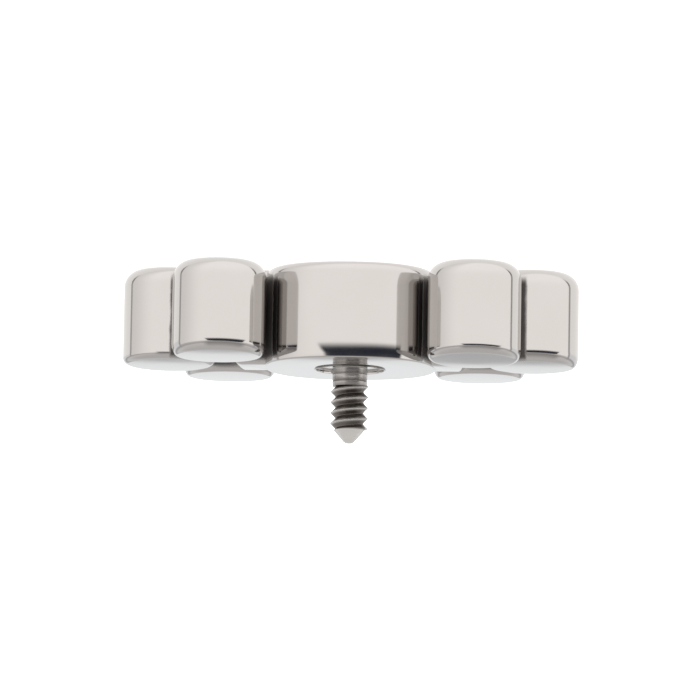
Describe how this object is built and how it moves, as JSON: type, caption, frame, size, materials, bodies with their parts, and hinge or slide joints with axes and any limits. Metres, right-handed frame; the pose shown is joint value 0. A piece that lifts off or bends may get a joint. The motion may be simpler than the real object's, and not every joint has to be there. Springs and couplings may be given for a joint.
{
  "type": "threaded piercing top",
  "caption": "Externally threaded piercing top: a mirror-polished cluster of rounded pucks, joined edge to edge, on a pointed screw post.",
  "frame": {"origin": "on the post's axis, at the level of the show face that it lies on", "axes": "+X along the cluster's long way, +Z along the post from the cluster to the tip"},
  "size_m": [0.0104, 0.0054, 0.004],
  "materials": {
    "polished_titanium": "mirror-polished titanium",
    "turned_titanium": "turned titanium, fine tool lines"
  },
  "bodies": {
    "root": {"lobed_top": "polished_titanium", "threaded_post": "turned_titanium"}
  },
  "joints": []
}
